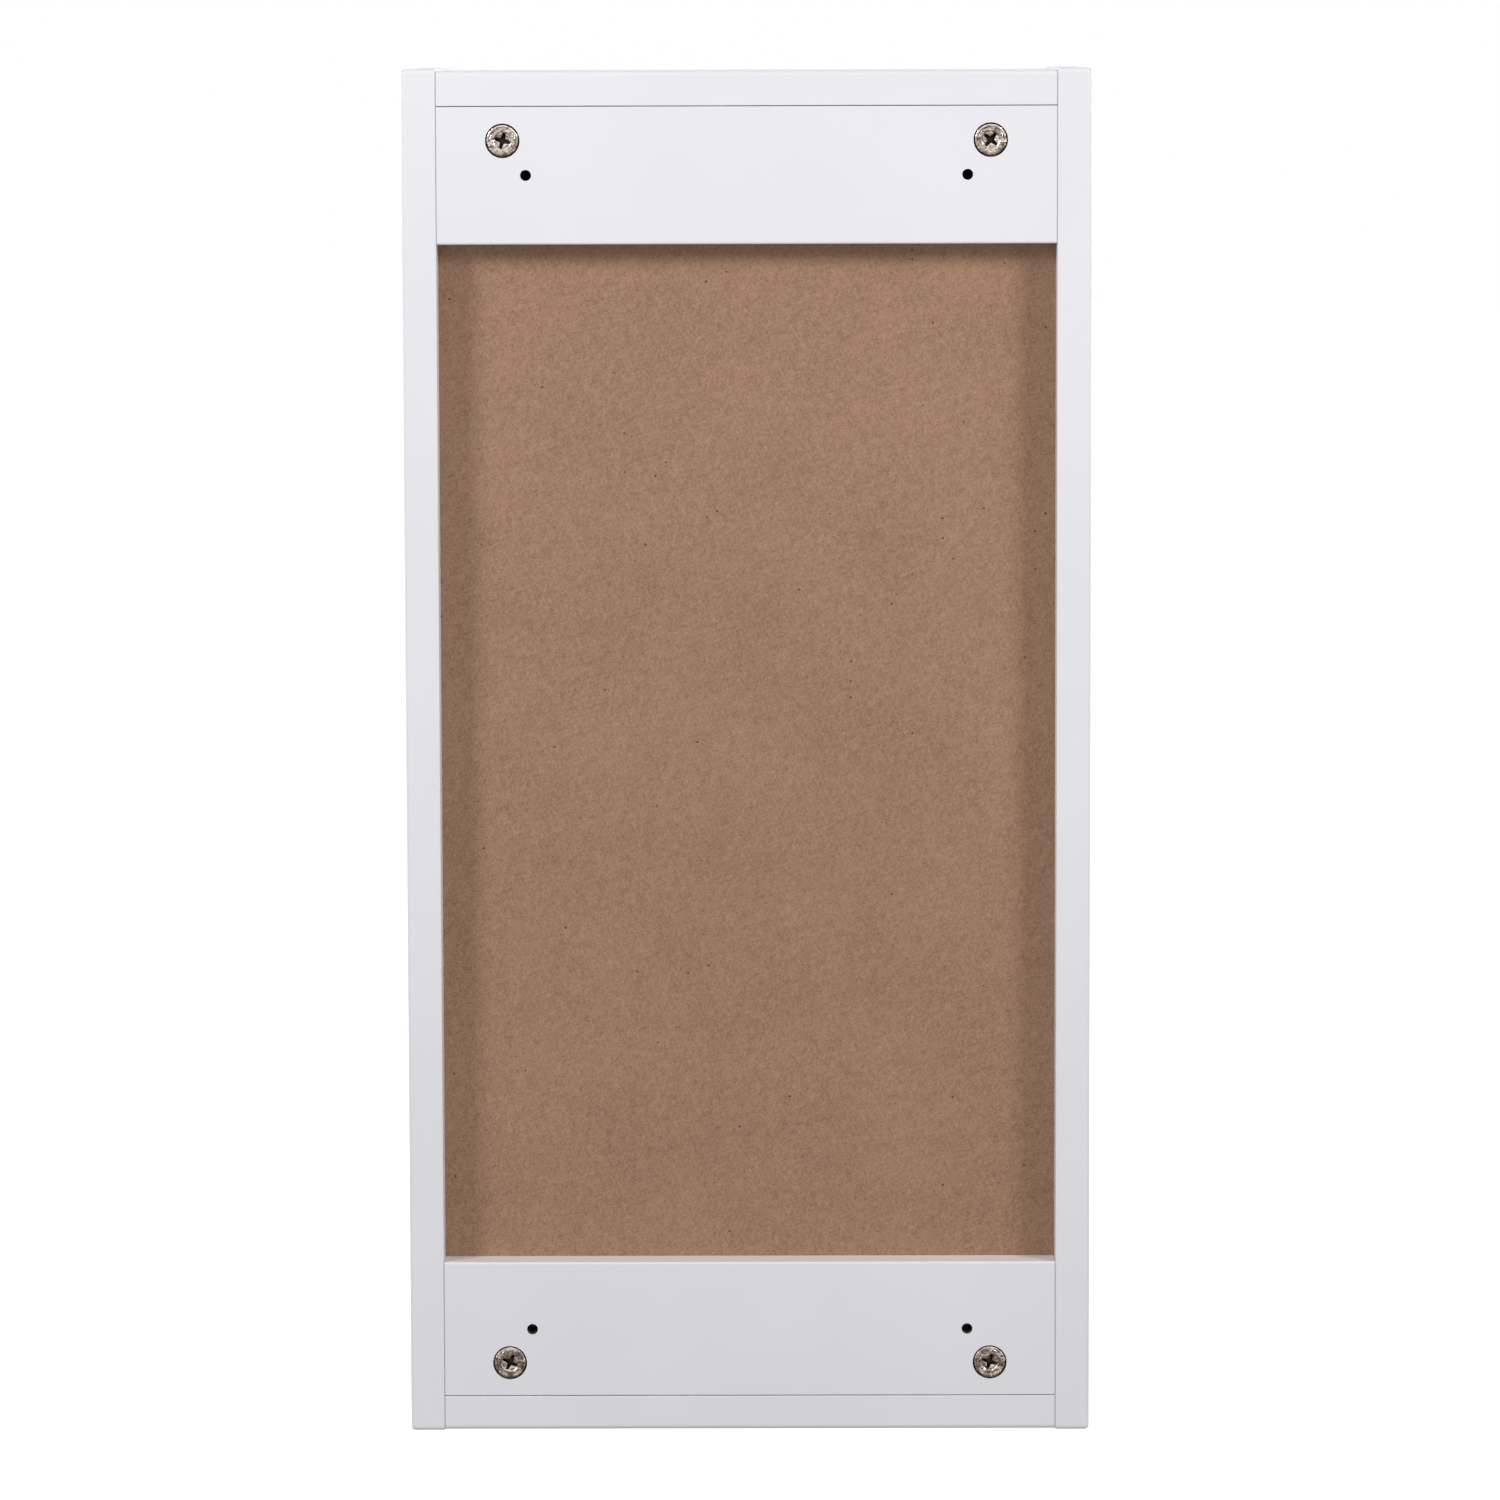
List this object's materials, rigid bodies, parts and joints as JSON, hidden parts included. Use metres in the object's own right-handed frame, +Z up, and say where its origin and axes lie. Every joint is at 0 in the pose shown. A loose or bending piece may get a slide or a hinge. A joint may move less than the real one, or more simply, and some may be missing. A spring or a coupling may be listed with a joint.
{
  "type": "bathroom mirror cabinet",
  "caption": "Tall narrow wall cabinet of white lacquered board with a mirrored swing door, adjustable shelves and rear rails for wall screws.",
  "frame": {"origin": "centre of the four wall screw holes, on the wall plane at the back of the cabinet", "axes": "+Z up along the height, +Y towards the wall (the door faces -Y), +X to the right seen from the front"},
  "size_m": [0.3, 0.191, 0.6],
  "materials": {
    "lacquered_board": "white satin lacquer on medium density fibreboard, soft rounded edges",
    "raw_fibreboard": "raw brown fibreboard, fine felted fibres, matt",
    "cam_zinc": "nickel plated zinc die casting",
    "bolt_steel": "zinc plated steel",
    "dowel_beech": "turned beech",
    "cap_plastic": "white moulded polyethylene",
    "pin_steel": "nickel plated steel",
    "mirror_silver": "silvered float glass with a ground bevel",
    "foam_tape": "white closed cell foam tape",
    "knob_chrome": "polished chrome plating on zinc",
    "hinge_steel": "nickel plated pressed steel",
    "screw_steel": "bright zinc plated steel",
    "catch_plastic": "white moulded ABS",
    "magnet_ferrite": "pressed ferrite, matt black",
    "strike_steel": "zinc plated sheet steel",
    "bumper_silicone": "clear soft silicone"
  },
  "bodies": {
    "carcass": {"side_panel_left": "lacquered_board", "side_panel_right": "lacquered_board", "top_panel": "lacquered_board", "bottom_panel": "lacquered_board", "upper_rear_rail": "lacquered_board", "lower_rear_rail": "lacquered_board", "back_panel": "raw_fibreboard", "rail_cam_locks": "cam_zinc", "deck_cam_locks": "cam_zinc", "rail_cam_bolts": "bolt_steel", "deck_cam_bolts": "bolt_steel", "rail_dowels": "dowel_beech", "deck_dowels": "dowel_beech", "cam_cover_caps": "cap_plastic", "shelf_pins": "pin_steel", "lower_hinge_arm": "hinge_steel", "upper_hinge_arm": "hinge_steel", "lower_hinge_plate": "hinge_steel", "upper_hinge_plate": "hinge_steel", "plate_screws": "screw_steel", "arm_screws": "screw_steel", "catch_housing": "catch_plastic", "catch_magnet": "magnet_ferrite", "catch_pole_plates": "strike_steel", "catch_screws": "screw_steel"},
    "door": {"door_panel": "lacquered_board", "mirror_glass": "mirror_silver", "mirror_tape": "foam_tape", "knob": "knob_chrome", "knob_screw": "screw_steel", "door_bumpers": "bumper_silicone", "lower_hinge_cup": "hinge_steel", "upper_hinge_cup": "hinge_steel", "cup_screws": "screw_steel", "hinge_pins": "pin_steel", "strike_plate": "strike_steel", "strike_screw": "screw_steel"},
    "lower_shelf": {"lower_shelf": "lacquered_board"},
    "upper_shelf": {"upper_shelf": "lacquered_board"}
  },
  "joints": [
    {"name": "door_hinge", "type": "hinge", "parent": "carcass", "child": "door", "pos_m": [-0.1405, -0.157, 0], "axis": [0, 0, -1], "range_deg": [0, 100]},
    {"name": "lower_shelf_lift", "type": "slide", "parent": "carcass", "child": "lower_shelf", "axis": [0, 0, 1], "range_m": [0, 0.175]},
    {"name": "upper_shelf_lift", "type": "slide", "parent": "carcass", "child": "upper_shelf", "axis": [0, 0, 1], "range_m": [0, 0.08]}
  ]
}
